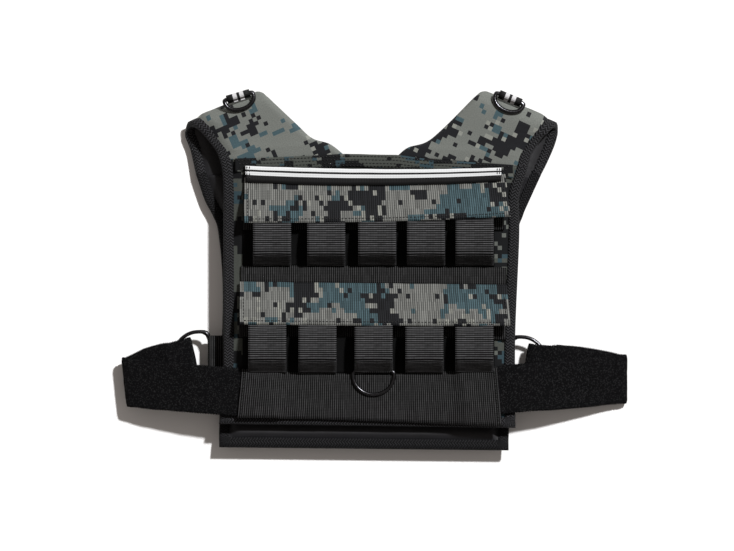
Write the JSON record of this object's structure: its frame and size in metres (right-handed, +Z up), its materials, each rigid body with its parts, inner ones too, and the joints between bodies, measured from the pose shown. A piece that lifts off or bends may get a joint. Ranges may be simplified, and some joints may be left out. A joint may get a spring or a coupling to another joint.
{
  "type": "weighted vest",
  "caption": "Padded sleeveless vest with wide shoulder straps, rows of webbing pockets for weights across the front, waist belts and D-rings.",
  "frame": {"origin": "under the middle of the lying vest, on the surface that it rests on", "axes": "+Y towards the neck, +X towards the right-hand belt as seen from above, +Z up out of the front"},
  "size_m": [0.5061, 0.3616, 0.0543],
  "materials": {
    "camo_fabric": "plain woven nylon in a grey, teal and charcoal block pattern",
    "camo_webbing": "ribbed webbing in a grey, teal and charcoal block pattern",
    "black_webbing": "black ribbed polypropylene webbing with a soft sheen",
    "binding_tape": "black herringbone tape",
    "lining": "smooth black woven nylon over padding",
    "belt_pile": "black hook-and-loop pile",
    "reflective_tape": "black tape with two light reflective stripes",
    "ring_metal": "black lacquered steel wire"
  },
  "bodies": {
    "vest": {"back_panel": "lining", "back_binding": "binding_tape", "front_panel": "camo_fabric", "front_binding": "binding_tape", "shoulder_strap_left": "camo_fabric", "shoulder_strap_right": "camo_fabric", "strap_binding_left": "binding_tape", "strap_binding_right": "binding_tape", "top_hem": "camo_fabric", "reflective_tape": "reflective_tape", "upper_flap": "camo_webbing", "lower_flap": "camo_webbing", "pocket_backing_upper": "black_webbing", "pocket_backing_lower": "black_webbing", "middle_strip": "black_webbing", "lower_band": "black_webbing", "pocket_upper_1": "black_webbing", "pocket_upper_2": "black_webbing", "pocket_upper_3": "black_webbing", "pocket_upper_4": "black_webbing", "pocket_upper_5": "black_webbing", "pocket_lower_1": "black_webbing", "pocket_lower_2": "black_webbing", "pocket_lower_3": "black_webbing", "pocket_lower_4": "black_webbing", "pocket_lower_5": "black_webbing", "centre_ring_tab": "black_webbing", "shoulder_ring_tab_left": "black_webbing", "shoulder_ring_tab_right": "black_webbing", "side_ring_left": "ring_metal", "side_ring_tab_left": "black_webbing", "side_ring_right": "ring_metal", "side_ring_tab_right": "black_webbing", "belt_left": "belt_pile", "belt_right": "belt_pile"},
    "centre_d_ring": {"centre_ring": "ring_metal"},
    "left_shoulder_d_ring": {"shoulder_ring_left": "ring_metal"},
    "right_shoulder_d_ring": {"shoulder_ring_right": "ring_metal"}
  },
  "joints": [
    {"name": "centre_ring_swing", "type": "hinge", "parent": "vest", "child": "centre_d_ring", "pos_m": [-0.00066, -0.1003, 0.0384], "axis": [-1, 0, 0], "range_deg": [0, 60]},
    {"name": "left_shoulder_ring_swing", "type": "hinge", "parent": "vest", "child": "left_shoulder_d_ring", "pos_m": [-0.13612, 0.17431, 0.03182], "axis": [-0.9588, -0.284, 0], "range_deg": [0, 150]},
    {"name": "right_shoulder_ring_swing", "type": "hinge", "parent": "vest", "child": "right_shoulder_d_ring", "pos_m": [0.13627, 0.1722, 0.03086], "axis": [-0.9249, 0.3802, 0], "range_deg": [0, 150]}
  ]
}
